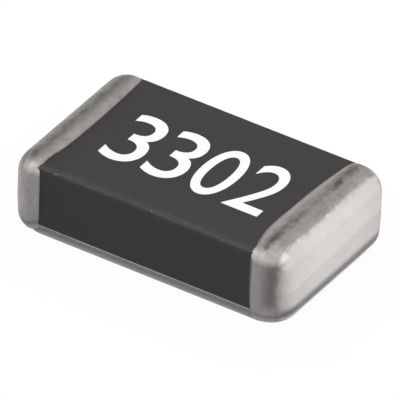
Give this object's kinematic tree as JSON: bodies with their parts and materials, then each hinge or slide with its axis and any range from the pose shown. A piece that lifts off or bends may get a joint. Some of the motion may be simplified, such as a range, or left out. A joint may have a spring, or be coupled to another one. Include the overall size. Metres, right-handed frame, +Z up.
{
  "type": "chip resistor",
  "caption": "Surface-mount chip resistor: charcoal coated ceramic chip with rounded, dipped silver-coloured end caps and flat solder lands underneath.",
  "frame": {"origin": "middle of the footprint, on the plane of the solder lands", "axes": "+X along the length towards the cap with the longer band, +Y across the width, +Z up away from the board"},
  "size_m": [0.002, 0.0012, 0.0005],
  "materials": {
    "alumina": "fired alumina, pale grey, sawn edge",
    "film": "fired resistor paste, dark brown",
    "silver": "fired silver paste, matt",
    "glass": "fired glass, grey-green",
    "overcoat": "charcoal epoxy coat, satin",
    "nickel": "plated nickel, warm grey",
    "tin": "plated matt tin, fine mottled grain"
  },
  "bodies": {
    "root": {"ceramic_substrate": "alumina", "resistive_film": "film", "left_top_electrode": "silver", "right_top_electrode": "silver", "left_bottom_electrode": "silver", "right_bottom_electrode": "silver", "glass_coat": "glass", "black_overcoat": "overcoat", "left_base_cap": "silver", "right_base_cap": "silver", "left_nickel_barrier": "nickel", "right_nickel_barrier": "nickel", "left_tin_cap": "tin", "right_tin_cap": "tin"}
  },
  "joints": []
}
